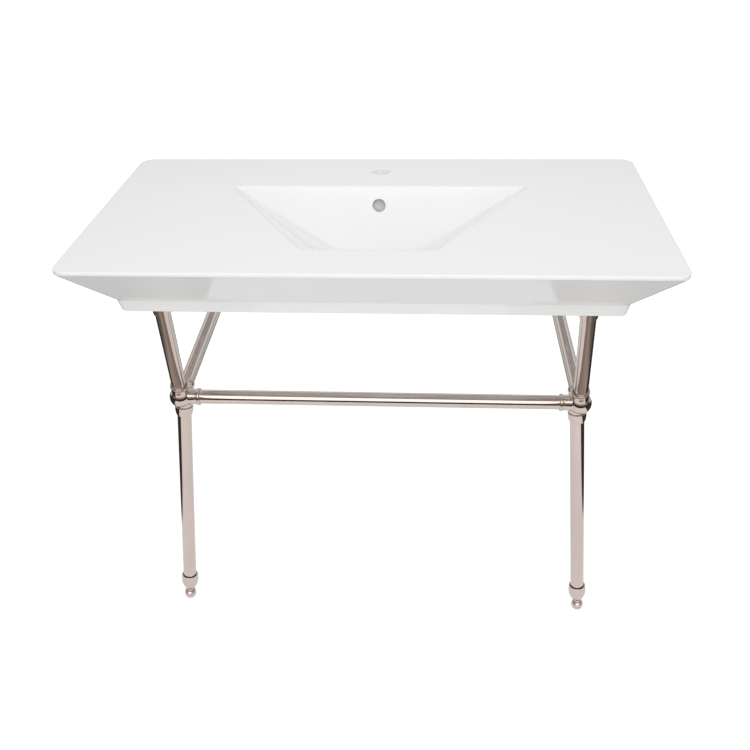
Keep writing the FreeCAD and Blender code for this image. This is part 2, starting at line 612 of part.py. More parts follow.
os.makedirs("parts", exist_ok=True)
for node, piece in model().items():
    piece.exportStep("parts/" + node + ".step")
    print(node, "solids", len(piece.Solids), "valid", piece.isValid(), "volume", round(piece.Volume))
print("foot slide axis", [round(v, 6) for v in LEG_AXIS], "travel", FOOT_TRAVEL)
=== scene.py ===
"""Looks for the console sink: glazed basin, polished nickel stand, studio floor and camera."""
import math

import bmesh
import bpy
from mathutils import Matrix, Vector


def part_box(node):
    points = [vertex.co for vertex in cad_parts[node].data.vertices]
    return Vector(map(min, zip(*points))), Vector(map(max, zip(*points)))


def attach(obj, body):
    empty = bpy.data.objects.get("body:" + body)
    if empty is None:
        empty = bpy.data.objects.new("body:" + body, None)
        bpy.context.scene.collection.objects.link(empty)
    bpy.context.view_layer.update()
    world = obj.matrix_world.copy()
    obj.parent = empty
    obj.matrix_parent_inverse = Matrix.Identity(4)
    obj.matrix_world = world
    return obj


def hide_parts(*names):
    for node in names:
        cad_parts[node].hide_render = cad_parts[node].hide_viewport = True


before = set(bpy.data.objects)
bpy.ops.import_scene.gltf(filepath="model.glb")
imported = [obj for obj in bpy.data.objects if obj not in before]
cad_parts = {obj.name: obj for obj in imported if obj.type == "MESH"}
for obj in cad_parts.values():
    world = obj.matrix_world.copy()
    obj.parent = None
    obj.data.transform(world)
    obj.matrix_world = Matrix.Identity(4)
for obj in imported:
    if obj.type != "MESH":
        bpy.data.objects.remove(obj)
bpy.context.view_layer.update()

MM = 0.001
X = Vector((1, 0, 0))
Y = Vector((0, 1, 0))
Z = Vector((0, 0, 1))
QUARTER = math.pi / 2

# Basin, read from the frame
BASIN_LOW, BASIN_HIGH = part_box("basin")
HALF_WIDTH = BASIN_HIGH.x
WALL_Y = BASIN_HIGH.y
DECK_Z = BASIN_HIGH.z

# Basin, outside
DECK_THICKNESS = 14 * MM
DECK_CORNER = 26 * MM
RIM_HEIGHT = 8.5 * MM
RIM_ROUNDING = 3.6 * MM
END_UNDERCUT = 69 * MM
FRONT_UNDERCUT = 82 * MM
CREASE_DROP = 90 * MM
BAND_HEIGHT = 23 * MM
BAND_DRAFT = 5 * MM
BODY_CORNER = 12 * MM
BACK_CORNER = 3 * MM
SHELL = 11 * MM
BACK_WALL = 14 * MM
EDGE_ROUNDING = 2.5 * MM
CREASE_SOFTNESS = 1.6 * MM
CREASE_STEPS = 5

# Bowl
BOWL_BACK = 164 * MM
BOWL_FRONT = 464 * MM
BOWL_BACK_HALF = 280 * MM
BOWL_FRONT_HALF = 111 * MM
BOWL_DEPTH = 120 * MM
BOWL_BACK_LEAN = math.radians(12)
BOWL_SIDE_LEAN = math.radians(46)
BOWL_FRONT_LEAN = math.radians(35)
BOWL_TOP_CORNERS = (6 * MM, 18 * MM)
BOWL_FLOOR_CORNERS = (30 * MM, 12 * MM)
BOWL_FLOOR_ROUNDING = 8 * MM
BOWL_FLOOR_DRAW = 0.7          # share of that rounding drawn in, as the walls lean
BOWL_FLOOR_THICKNESS = 12 * MM
LIP_ROUNDING = 3 * MM

# Holes
TAP_RADIUS = 17.5 * MM
TAP_BACK = 80 * MM
TAP_ROUNDING = 1.5 * MM
TAP_CUT_DEPTH = 30 * MM
OVERFLOW_RADIUS = 12.5 * MM
OVERFLOW_DROP = 36 * MM
OVERFLOW_ROUNDING = 1 * MM
WASTE_RADIUS = 22.5 * MM
WASTE_BACK = 258 * MM
WASTE_ROUNDING = 2 * MM
WASTE_CUT_DEPTH = 45 * MM
WASTE_BOSS_WALL = 14 * MM
WASTE_BOSS_HEIGHT = 26 * MM
BOSS_EASE = 1 * MM
BOLT_RADIUS = 6 * MM
BOLT_HALF_SPACING = 320 * MM
BOLT_DROP = 62 * MM
BOLT_ROUNDING = 0.5 * MM
PASSAGE_WIDTH = 36 * MM
PASSAGE_THICKNESS = 12 * MM
PASSAGE_WALL = 8 * MM
POST_RADIUS = 37 * MM
POST_HEIGHT = 100 * MM

# Tubes
TUBE_RADIUS = 14 * MM
TUBE_WALL = 2 * MM
FIT = 0.1 * MM
SEAT = 21 * MM

# Right-hand side frame: from the middle to the right, out from the wall and up from the floor
JOINT_ASIDE = 393 * MM
JOINT_OUT = 316 * MM
JOINT_HEIGHT = 517 * MM
TOP_ASIDE = 373 * MM           # of the strut's and the rail's far ends
STRUT_OUT = 419 * MM
RAIL_HEIGHT = 582 * MM
LEG_INBOARD = 5 * MM
FOOT_ASIDE = 431 * MM
FOOT_OUT = 343 * MM
BAND_BOTTOM = DECK_Z - CREASE_DROP - BAND_HEIGHT
JOINT = Vector((JOINT_ASIDE, WALL_Y - JOINT_OUT, JOINT_HEIGHT))
STRUT_TOP = Vector((TOP_ASIDE, WALL_Y - STRUT_OUT, BAND_BOTTOM))
STRUT_AXIS = (STRUT_TOP - JOINT).normalized()
RAIL_TOP = Vector((TOP_ASIDE, WALL_Y, RAIL_HEIGHT))
RAIL_AXIS = (RAIL_TOP - JOINT).normalized()
LEG_TOP = JOINT - X * LEG_INBOARD
FOOT_POINT = Vector((FOOT_ASIDE, WALL_Y - FOOT_OUT, 0))
LEG_AXIS = (FOOT_POINT - LEG_TOP).normalized()
LEG_LENGTH = (FOOT_POINT - LEG_TOP).length

# Joint casting
BALL_RADIUS = 23 * MM
SOCKET_START = 18 * MM
SOCKET_RADIUS = 16.4 * MM
BEAD_RADIUS = 17.6 * MM
BEAD_LENGTH = 5 * MM
MOUTH_DISH = 2.6 * MM          # how deep a socket's mouth is hollowed round its tube
MOUTH_GAP = 1.9 * MM
WAIST = 1.1 * MM               # how much a socket narrows between the ball and its bead
BELL_RADIUS = 18.2 * MM
BELL_MOUTH = 15 * MM
BELL_LENGTH = 17 * MM
BELL_OVERLAP = 4 * MM
BELL_CURVE = 0.96              # the nearer to 1, the steeper the bell's mouth
GRUB_RADIUS = 2.1 * MM
GRUB_REACH = 4 * MM

# Flanges
PAD_THICKNESS = 2 * MM
STRUT_FLANGE_RADIUS = 33 * MM
STRUT_FLANGE_THICKNESS = 5 * MM
STRUT_STOP = 6 * MM
HUB_LENGTH = 22 * MM
FLANGE_SCREWS = 3
FLANGE_SCREW_CIRCLE = 26 * MM
SCREW_RADIUS = 2.6 * MM
SCREW_HEAD = 4.9 * MM
SCREW_HEAD_HEIGHT = 2.4 * MM
WALL_FLANGE_RADIUS = 36 * MM
WALL_FLANGE_THICKNESS = 6 * MM
WALL_FLANGE_ROUNDING = WALL_FLANGE_THICKNESS / 3
WALL_HOLE_CIRCLE = 28 * MM
WALL_HOLE_RADIUS = 2.75 * MM
RAIL_STOP = 4 * MM
EASE = 0.6 * MM                # small rounding on edges of turned pieces

# Levelling foot, measured up the leg from the floor
FOOT_BALL_RADIUS = 12.6 * MM
FOOT_BALL_CENTRE = 11.3 * MM
NECK_RADIUS = 8 * MM
NECK_TOP = 26 * MM
NECK_GROOVE = 1.3 * MM
STUD_RADIUS = 5 * MM
STUD_LENGTH = 44 * MM
CUP_BASE = 26.4 * MM
CUP_HEIGHT = 39 * MM
CUP_BASE_RADIUS = 9 * MM
CUP_BULGE_RADIUS = 18.3 * MM
CUP_BULGE_SHARE = 0.62
CUP_RIM_RADIUS = 17 * MM
CUP_FLOOR = 13 * MM
CUP_MOUTH_RADIUS = 15.8 * MM
CUP_MOUTH_DEPTH = 9 * MM

ROUND_STEPS = 10
LATHE_STEPS = 128
OFF_STEP = 0.37                # turns cutters a little, so that their edges miss those of the piece
FLAT_SIZE = 2.5 * MM           # flat patches wider than about twice this are shaded flat
SAME_FACING = 0.99995          # cosine between neighbours in one flat patch
SMOOTH_ANGLE = math.radians(35)  # faces that meet more sharply keep a hard edge
MOUTH_SWEEP = math.radians(80)   # how far round a hole's rounded mouth is turned
CUTTER_RISE = MM / 4             # how far a hole's cutter stands out of the surface
CUTTER_CLEAR = 5 * MM            # the same for the large cutters


# ------------ mesh helpers

def mesh_object(name, points, faces):
    """A new mesh object, linked to the scene."""
    mesh = bpy.data.meshes.new(name)
    mesh.from_pydata([tuple(point) for point in points], [], faces)
    mesh.validate()
    piece = bpy.data.objects.new(name, mesh)
    bpy.context.scene.collection.objects.link(piece)
    return piece


def lerp(a, b, t):
    """The number a share t of the way from a to b."""
    return a + (b - a) * t


def blend(first, second, t):
    """The same for each number of two tuples."""
    return tuple(lerp(a, b, t) for a, b in zip(first, second))


def angles(last, steps=ROUND_STEPS):
    """Angles from 0 to last in even steps."""
    return [last * step / steps for step in range(steps + 1)]


def corner_round(radius, last=QUARTER):
    """(inset, rise) pairs round a rounded edge, from the side at its full rise to the face."""
    return [(radius * (1 - math.cos(angle)), radius * (1 - math.sin(angle))) for angle in angles(last)]


def rounded_loop(corners, radii, height):
    """Points of a level outline through corners, each rounded by its own radius."""
    points = []
    for index, corner in enumerate(corners):
        here = Vector((*corner, height))
        before = Vector((*corners[index - 1], height))
        after = Vector((*corners[(index + 1) % len(corners)], height))
        to_before = (before - here).normalized()
        to_after = (after - here).normalized()
        half = to_before.angle(to_after) / 2
        radius = radii[index]
        bisector = (to_before + to_after).normalized()
        centre = here + bisector * (radius / math.sin(half))
        start = here + to_before * (radius / math.tan(half)) - centre
        turn = Z if to_before.cross(to_after).z < 0 else -Z
        for angle in angles(math.pi - 2 * half):
            points.append(centre + Matrix.Rotation(angle, 3, turn) @ start)
    return points


def solid(name, points, faces):
    """A closed mesh object, every face turned outward."""
    piece = mesh_object(name, points, faces)
    work = bmesh.new()
    work.from_mesh(piece.data)
    bmesh.ops.recalc_face_normals(work, faces=work.faces)
    work.to_mesh(piece.data)
    work.free()
    return piece


def stacked(name, loops):
    """A closed solid through level loops of equal length, capped at both ends."""
    count = len(loops[0])
    points = [point for loop in loops for point in loop]
    faces = [tuple(reversed(range(count)))]
    for level in range(len(loops) - 1):
        base = level * count
        for index in range(count):
            after = (index + 1) % count
            faces.append((base + index, base + after, base + count + after, base + count + index))
    faces.append(tuple(range(len(points) - count, len(points))))
    return solid(name, points, faces)


def ring_points(along, radius, origin, axis, phase=0.0):
    """The points of one ring of a turned piece."""
    turn = Z.rotation_difference(axis).to_matrix()
    points = []
    for step in range(LATHE_STEPS):
        angle = 2 * math.pi * (step + phase) / LATHE_STEPS
        spot = Vector((radius * math.cos(angle), radius * math.sin(angle), along))
        points.append(origin + turn @ spot)
    return points


def lathe(name, profile, origin, axis, phase=0.0):
    """A solid turned about axis from (along, radius) pairs; a zero radius closes on the axis."""
    points = []
    rings = []
    for along, radius in profile:
        ring = ring_points(along, radius, origin, axis, phase)
        if radius <= 0:
            ring = ring[:1]
        rings.append(range(len(points), len(points) + len(ring)))
        points += ring
    faces = []
    for low, high in zip(rings, rings[1:]):
        for step in range(LATHE_STEPS):
            after = (step + 1) % LATHE_STEPS
            if len(low) == 1 and len(high) > 1:
                faces.append((low[0], high[step], high[after]))
            elif len(high) == 1 and len(low) > 1:
                faces.append((low[step], high[0], low[after]))
            elif len(low) > 1 and len(high) > 1:
                faces.append((low[step], low[after], high[after], high[step]))
    return solid(name, points, faces)


def combine(piece, operation, *others):
    """Booleans of closed solids, one after the other; the others are used up."""
    for other in others:
        modifier = piece.modifiers.new("combine", "BOOLEAN")
        modifier.operation = operation
        modifier.solver = "EXACT"
        modifier.object = other
        bpy.context.view_layer.update()
        evaluated = piece.evaluated_get(bpy.context.evaluated_depsgraph_get())
        mesh = bpy.data.meshes.new_from_object(evaluated)
        piece.modifiers.clear()
        piece.data = mesh
        bpy.data.objects.remove(other)
    return piece


def flat_patches(mesh):
    """For each face, the number of the flat patch it belongs to."""
    across = {}
    for polygon in mesh.polygons:
        for key in polygon.edge_keys:
            across.setdefault(key, []).append(polygon.index)
    patch = [None] * len(mesh.polygons)
    for first in mesh.polygons:
        if patch[first.index] is not None:
            continue
        patch[first.index] = first.index
        waiting = [first.index]
        while waiting:
            for key in mesh.polygons[waiting.pop()].edge_keys:
                for other in across[key]:
                    if patch[other] is not None:
                        continue
                    if mesh.polygons[other].normal.dot(first.normal) > SAME_FACING:
                        patch[other] = first.index
                        waiting.append(other)
    return patch


def wide_patches(mesh, patch):
    """The flat patches that are wide for their outline's length, which leaves out strips and slivers."""
    area = {}
    borders = {}
    for polygon in mesh.polygons:
        number = patch[polygon.index]
        area[number] = area.get(number, 0.0) + polygon.area
        for key in polygon.edge_keys:
            edges = borders.setdefault(number, set())
            edges.symmetric_difference_update({key})
    wide = set()
    for number, edges in borders.items():
        outline = sum((mesh.vertices[a].co - mesh.vertices[b].co).length for a, b in edges)
        if area[number] > FLAT_SIZE * outline:
            wide.add(number)
    return wide


def smooth(piece):
    """Shading normals: wide faces stay flat, narrow ones round off towards their neighbours."""
    mesh = piece.data
    patch = flat_patches(mesh)
    wide = wide_patches(mesh, patch)
    beside = [[] for vertex in mesh.vertices]
    for polygon in mesh.polygons:
        polygon.use_smooth = True
        for vertex in polygon.vertices:
            beside[vertex].append(polygon)
    limit = math.cos(SMOOTH_ANGLE)
    normals = []
    for polygon in mesh.polygons:
        for vertex in polygon.vertices:
            near = [other for other in beside[vertex] if other.normal.dot(polygon.normal) > limit]
            flat = [other for other in near if patch[other.index] in wide]
            if patch[polygon.index] in wide:
                normals.append(mesh.polygons[patch[polygon.index]].normal.copy())
            elif flat:
                normals.append(flat[0].normal.copy())
            else:
                total = sum((other.normal * other.area for other in near), Vector())
                normals.append(total.normalized())
    mesh.normals_split_custom_set(normals)


def mirrored(piece, name):
    """The left-hand twin of a right-hand piece."""
    twin = piece.copy()
    twin.data = piece.data.copy()
    twin.name = name
    twin.data.name = name
    bpy.context.scene.collection.objects.link(twin)
    twin.data.transform(Matrix.Scale(-1, 4, X))
    twin.data.flip_normals()
    return twin


# ------------ materials

def new_material(name):
    """A new material, with its node tree and main shader."""
    material = bpy.data.materials.new(name)
    material.use_nodes = True
    return material, material.node_tree, material.node_tree.nodes["Principled BSDF"]


def noise(tree, scale, detail, rough=0.5):
    """A noise texture on object coordinates."""
    place = tree.nodes.new("ShaderNodeTexCoord")
    texture = tree.nodes.new("ShaderNodeTexNoise")
    texture.inputs["Scale"].default_value = scale
    texture.inputs["Detail"].default_value = detail
    texture.inputs["Roughness"].default_value = rough
    tree.links.new(place.outputs["Object"], texture.inputs["Vector"])
    return texture.outputs["Fac"]


def ramp(tree, source, low, high, start=0.35, end=0.65):
    """A colour ramp from low to high, driven by a value."""
    node = tree.nodes.new("ShaderNodeValToRGB")
    node.color_ramp.elements[0].position = start
    node.color_ramp.elements[0].color = (*low, 1)
    node.color_ramp.elements[1].position = end
    node.color_ramp.elements[1].color = (*high, 1)
    tree.links.new(source, node.inputs["Fac"])
    return node


def paint(tree, shader, source, low, high):
    """A base colour that varies from low to high with a value."""
    colour = ramp(tree, source, low, high)
    tree.links.new(colour.outputs["Color"], shader.inputs["Base Color"])


def roughen(tree, shader, source, low, high):
    """A roughness that varies from low to high with a value."""
    node = tree.nodes.new("ShaderNodeMapRange")
    node.inputs["To Min"].default_value = low
    node.inputs["To Max"].default_value = high
    tree.links.new(source, node.inputs["Value"])
    tree.links.new(node.outputs["Result"], shader.inputs["Roughness"])


def bump(tree, shader, height, strength, distance):
    """Bump from a height value."""
    node = tree.nodes.new("ShaderNodeBump")
    node.inputs["Strength"].default_value = strength
    node.inputs["Distance"].default_value = distance
    tree.links.new(height, node.inputs["Height"])
    tree.links.new(node.outputs["Normal"], shader.inputs["Normal"])


def glaze():
    """White glazed fireclay: a clear coat over a slightly uneven white body."""
    material, tree, shader = new_material("white_glaze")
    tint = noise(tree, scale=2.2, detail=2.0)
    paint(tree, shader, tint, low=(0.912, 0.91, 0.906), high=(0.93, 0.928, 0.925))
    roughen(tree, shader, noise(tree, scale=9.0, detail=4.0), low=0.07, high=0.13)
    shader.inputs["IOR"].default_value = 1.52
    shader.inputs["Coat Weight"].default_value = 0.2
    shader.inputs["Coat Roughness"].default_value = 0.03
    bump(tree, shader, noise(tree, scale=14.0, detail=2.0), strength=0.02, distance=0.002)
    return material


def nickel():
    """Polished nickel: warm, mirror-like, with faint polishing haze."""
    material, tree, shader = new_material("polished_nickel")
    shader.inputs["Metallic"].default_value = 1.0
    tint = noise(tree, scale=6.0, detail=3.0)
    paint(tree, shader, tint, low=(0.655, 0.56, 0.515), high=(0.70, 0.60, 0.555))
    roughen(tree, shader, noise(tree, scale=60.0, detail=5.0, rough=0.6), low=0.05, high=0.14)
    bump(tree, shader, noise(tree, scale=240.0, detail=2.0), strength=0.03, distance=0.0004)
    return material


def rubber():
    """Matt black rubber."""
    material, tree, shader = new_material("black_rubber")
    grain = noise(tree, scale=900.0, detail=4.0)
    paint(tree, shader, grain, low=(0.018, 0.018, 0.018), high=(0.035, 0.034, 0.033))
    shader.inputs["Roughness"].default_value = 0.7
    bump(tree, shader, grain, strength=0.2, distance=0.0004)
    return material


def turned_metal(name, low, high):
    """Machined metal with fine haze."""
    material, tree, shader = new_material(name)
    shader.inputs["Metallic"].default_value = 1.0
    grain = noise(tree, scale=500.0, detail=4.0)
    paint(tree, shader, grain, low, high)
    roughen(tree, shader, grain, low=0.2, high=0.38)
    return material


GLAZE = glaze()
NICKEL = nickel()
RUBBER = rubber()
BRASS = turned_metal("plain_brass", (0.70, 0.52, 0.24), (0.80, 0.62, 0.32))
STEEL = turned_metal("stainless_steel", (0.50, 0.50, 0.50), (0.62, 0.62, 0.61))


def dress(piece, material):
    """Gives a piece its material."""
    piece.data.materials.clear()
    piece.data.materials.append(material)


# ------------ basin

def basin_loop(end_inset, front_inset, drop, front_radius, back_inset=0.0, back_radius=BACK_CORNER):
    """The basin's level outline, drawn in from its widest ends, front and back."""
    half = HALF_WIDTH - end_inset
    front = -WALL_Y + front_inset
    back = WALL_Y - back_inset
    corners = [(-half, front), (half, front), (half, back), (-half, back)]
    return rounded_loop(corners, [front_radius, front_radius, back_radius, back_radius], DECK_Z - drop)


def rim_solid():
    """The deck slab with its rounded nose."""
    insets = [(rise, inset) for inset, rise in corner_round(RIM_ROUNDING)]
    insets += [(inset, RIM_HEIGHT - rise) for inset, rise in corner_round(RIM_ROUNDING)]
    loops = []
    for inset, drop in insets:
        corner = DECK_CORNER - inset
        loops.append(basin_loop(inset, inset, drop, corner, inset, corner))
    return stacked("rim", loops)


def skirt_profile():
    """(end inset, front inset, drop) points down the outside, its band's lower edge rounded."""
    crease = (END_UNDERCUT, FRONT_UNDERCUT, CREASE_DROP)
    foot = (END_UNDERCUT + BAND_DRAFT, FRONT_UNDERCUT + BAND_DRAFT, CREASE_DROP + BAND_HEIGHT)
    points = [(RIM_ROUNDING, RIM_ROUNDING, RIM_HEIGHT - MM), (RIM_ROUNDING, RIM_ROUNDING, RIM_HEIGHT)]
    points += crease_points(points[-1], crease, foot)
    end, front, drop = blend(crease, foot, 1 - EDGE_ROUNDING / BAND_HEIGHT)
    for angle in angles(QUARTER):
        inset = EDGE_ROUNDING * (1 - math.cos(angle))
        points.append((end + inset, front + inset, drop + EDGE_ROUNDING * math.sin(angle)))
    return points


def crease_points(top, crease, foot):
    """A slightly rounded crease between the sloping underside and the band."""
    before = blend(crease, top, CREASE_SOFTNESS / CREASE_DROP)
    after = blend(crease, foot, CREASE_SOFTNESS / BAND_HEIGHT)
    points = []
    for step in range(CREASE_STEPS + 1):
        t = step / CREASE_STEPS
        points.append(blend(blend(before, crease, t), blend(crease, after, t), t))
    return points


def skirt_solid():
    """The sloping underside and the band, solid."""
    loops = [basin_loop(end, front, drop, BODY_CORNER) for end, front, drop in skirt_profile()]
    return stacked("skirt", loops)


def wall_run(run, drop, thickness):
    """How far a wall of this thickness reaches on the level, on a slope of this run and drop."""
    return thickness * math.hypot(run, drop) / drop


def cavity_solid():
    """The open space under the deck."""
    slope = CREASE_DROP - RIM_HEIGHT
    end_wall = wall_run(END_UNDERCUT - RIM_ROUNDING, slope, SHELL)
    front_wall = wall_run(FRONT_UNDERCUT - RIM_ROUNDING, slope, SHELL)
    part_way = (DECK_THICKNESS - RIM_HEIGHT) / slope
    end_top = lerp(RIM_ROUNDING, END_UNDERCUT, part_way) + end_wall
    front_top = lerp(RIM_ROUNDING, FRONT_UNDERCUT, part_way) + front_wall
    end_low = END_UNDERCUT + BAND_DRAFT + SHELL
    front_low = FRONT_UNDERCUT + BAND_DRAFT + SHELL
    low = CREASE_DROP + BAND_HEIGHT
    levels = [(end_top, front_top, DECK_THICKNESS),
              (END_UNDERCUT + end_wall, FRONT_UNDERCUT + front_wall, CREASE_DROP),
              (end_low, front_low, low), (end_low, front_low, low + CUTTER_CLEAR)]
    return stacked("cavity", [basin_loop(*level, BODY_CORNER, BACK_WALL) for level in levels])


def bowl_loop(drop, radii, grow=0.0, wall=0.0):
    """The bowl's level outline at a drop below the deck, grown level or by a wall."""
    taper = (BOWL_BACK_HALF - BOWL_FRONT_HALF) / (BOWL_FRONT - BOWL_BACK)
    side = drop * math.tan(BOWL_SIDE_LEAN) - wall / math.cos(BOWL_SIDE_LEAN) - grow
    back = BOWL_BACK + drop * math.tan(BOWL_BACK_LEAN) - wall / math.cos(BOWL_BACK_LEAN) - grow
    front = BOWL_FRONT - drop * math.tan(BOWL_FRONT_LEAN) + wall / math.cos(BOWL_FRONT_LEAN) + grow
    across = side * math.hypot(1, taper)
    back_half = BOWL_BACK_HALF - (back - BOWL_BACK) * taper - across
    front_half = BOWL_FRONT_HALF + (BOWL_FRONT - front) * taper - across
    corners = [(-front_half, WALL_Y - front), (front_half, WALL_Y - front),
               (back_half, WALL_Y - back), (-back_half, WALL_Y - back)]
    return rounded_loop(corners, [radii[1], radii[1], radii[0], radii[0]], DECK_Z - drop)


def bowl_space():
    """The space inside the bowl, with a rounded lip and floor edge."""
    loops = []
    for drop, grow in corner_round(LIP_ROUNDING):
        loops.append(bowl_loop(drop, [radius + grow for radius in BOWL_TOP_CORNERS], grow))
    loops.insert(0, [point + Z * CUTTER_CLEAR for point in loops[0]])
    for inset, rise in corner_round(BOWL_FLOOR_ROUNDING):
        loops.append(bowl_loop(BOWL_DEPTH - rise, BOWL_FLOOR_CORNERS, -inset * BOWL_FLOOR_DRAW))
    return stacked("bowl_space", loops)


def bowl_shell():
    """The bowl's outer body, under the deck."""
    start = DECK_THICKNESS / 2
    floor = bowl_loop(BOWL_DEPTH, BOWL_FLOOR_CORNERS, 0.0, SHELL)
    low = [point - Z * BOWL_FLOOR_THICKNESS for point in floor]
    return stacked("bowl_shell", [bowl_loop(start, BOWL_TOP_CORNERS, 0.0, SHELL), floor, low])


def box_solid(name, low, high):
    """A box between two corners."""
    loops = []
    for z in (low[2], high[2]):
        loops.append([Vector((low[0], low[1], z)), Vector((high[0], low[1], z)),
                      Vector((high[0], high[1], z)), Vector((low[0], high[1], z))])
    return stacked(name, loops)


def passage(grow):
    """The overflow passage, or its housing when grown."""
    half = PASSAGE_WIDTH / 2 + grow
    under = BOWL_DEPTH + BOWL_FLOOR_THICKNESS
    top = OVERFLOW_DROP - PASSAGE_WIDTH / 2 - grow
    bottom = under + PASSAGE_THICKNESS + grow
    down = box_solid("down", (-half, SHELL - grow, -bottom),
                     (half, SHELL + PASSAGE_THICKNESS + grow, -top))
    down.data.transform(Matrix.Rotation(-BOWL_BACK_LEAN, 4, "X"))
    down.data.transform(Matrix.Translation((0, WALL_Y - BOWL_BACK, DECK_Z)))
    back = WALL_Y - BOWL_BACK + SHELL - under * math.tan(BOWL_BACK_LEAN)
    low = DECK_Z - under - PASSAGE_THICKNESS - grow
    forward = box_solid("forward", (-half, WALL_Y - WASTE_BACK, low),
                        (half, back + PASSAGE_THICKNESS / 2 + grow, low + PASSAGE_THICKNESS + 2 * grow))
    return combine(down, "UNION", forward)


def hole(name, origin, axis, radius, depth, rounding):
    """A cutter for a round hole with a rounded mouth; axis points out of the mouth."""
    profile = [(-depth, 0.0), (-depth, radius)]
    profile += [(-rise, radius + inset) for inset, rise in corner_round(rounding, MOUTH_SWEEP)]
    along, wide = profile[-1]
    spread = (CUTTER_RISE - along) / math.tan(QUARTER - MOUTH_SWEEP)
    profile += [(CUTTER_RISE, wide + spread), (CUTTER_RISE, 0.0)]
    return lathe(name, profile, origin, axis, phase=OFF_STEP)


def strut_post(side):
    """The solid ceramic over one strut flange, kept inside the skirt."""
    foot = Vector((side * STRUT_TOP.x, STRUT_TOP.y, BAND_BOTTOM))
    profile = [(0, 0.0), (0, POST_RADIUS), (POST_HEIGHT, POST_RADIUS), (POST_HEIGHT, 0.0)]
    return combine(lathe("post", profile, foot, Z), "INTERSECT", skirt_solid())


def waste_boss(waste):
    """The thick ring round the waste hole, under the bowl's floor."""
    low = -(BOWL_FLOOR_THICKNESS + WASTE_BOSS_HEIGHT)
    high = -BOWL_FLOOR_THICKNESS / 2
    radius = WASTE_RADIUS + WASTE_BOSS_WALL
    profile = [(low, 0.0), (low, radius - BOSS_EASE), (low + BOSS_EASE, radius), (high, radius), (high, 0.0)]
    return lathe("boss", profile, waste, Z)


def basin_cutters(waste):
    """Cutters for the tap, waste, overflow and wall bolt holes."""
    tap = Vector((0, WALL_Y - TAP_BACK, DECK_Z))
    lean = BOWL_BACK_LEAN
    mouth = Vector((0, WALL_Y - BOWL_BACK - OVERFLOW_DROP * math.tan(lean), DECK_Z - OVERFLOW_DROP))
    out = Vector((0, -math.cos(lean), math.sin(lean)))
    into_passage = SHELL + PASSAGE_THICKNESS / 2
    cutters = [
        hole("tap", tap, Z, TAP_RADIUS, TAP_CUT_DEPTH, TAP_ROUNDING),
        hole("waste", waste, Z, WASTE_RADIUS, WASTE_CUT_DEPTH, WASTE_ROUNDING),
        hole("overflow", mouth, out, OVERFLOW_RADIUS, into_passage, OVERFLOW_ROUNDING)]
    for side in (-1, 1):
        bolt = Vector((side * BOLT_HALF_SPACING, WALL_Y, DECK_Z - BOLT_DROP))
        cutters.append(hole("bolt", bolt, Y, BOLT_RADIUS, BACK_WALL + MM, BOLT_ROUNDING))
    return cutters


def make_basin():
    """The glazed basin."""
    waste = Vector((0, WALL_Y - WASTE_BACK, DECK_Z - BOWL_DEPTH))
    piece = combine(skirt_solid(), "DIFFERENCE", cavity_solid())
    combine(piece, "UNION", rim_solid(), strut_post(-1), strut_post(1), bowl_shell(),
            passage(PASSAGE_WALL), waste_boss(waste))
    combine(piece, "DIFFERENCE", bowl_space(), passage(0.0), *basin_cutters(waste))
    piece.name = "basin_glazed"
    smooth(piece)
    dress(piece, GLAZE)
    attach(piece, "root")
    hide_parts("basin")


# ------------ stand

def carry(piece, node, body="root"):
    """Finishes a new polished piece that stands for one CAD node."""
    smooth(piece)
    dress(piece, NICKEL)
    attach(piece, body)
    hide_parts(node)


def carry_pair(piece, node, body="root"):
    """The same for a right-hand piece and its left-hand twin."""
    bodies = ("right_" + body, "left_" + body) if body != "root" else ("root", "root")
    twin = mirrored(piece, "left_" + node + "_polished")
    piece.name = "right_" + node + "_polished"
    carry(piece, "right_" + node, bodies[0])
    carry(twin, "left_" + node, bodies[1])


def ring_lathe(name, profile, origin, axis):
    """A turned ring: the profile closes on itself, away from the axis."""
    points = []
    for along, radius in profile:
        points += ring_points(along, radius, origin, axis)
    faces = []
    for index in range(len(profile)):
        low = index * LATHE_STEPS
        high = (index + 1) % len(profile) * LATHE_STEPS
        for step in range(LATHE_STEPS):
            after = (step + 1) % LATHE_STEPS
            faces.append((low + step, low + after, high + after, high + step))
    return solid(name, points, faces)


def tube(name, origin, axis, start, end):
    """A hollow tube with slightly eased ends."""
    inner = TUBE_RADIUS - TUBE_WALL
    ease = TUBE_WALL / 4
    profile = [(start + ease, inner), (start, inner + ease),
               (start, TUBE_RADIUS - ease), (start + ease, TUBE_RADIUS),
               (end - ease, TUBE_RADIUS), (end, TUBE_RADIUS - ease),
               (end, inner + ease), (end - ease, inner)]
    return ring_lathe(name, profile, origin, axis)


def cylinder(name, origin, axis, start, end, radius):
    """A plain round bar, used as a cutter."""
    profile = [(start, 0.0), (start, radius), (end, radius), (end, 0.0)]
    return lathe(name, profile, origin, axis, phase=OFF_STEP)


def ball(name, origin, radius):
    """A finely turned ball."""
    steps = LATHE_STEPS // 2
    profile = [(-radius * math.cos(angle), radius * math.sin(angle)) for angle in angles(math.pi, steps)]
    profile[0] = (-radius, 0.0)
    profile[-1] = (radius, 0.0)
    return lathe(name, profile, origin, Z)


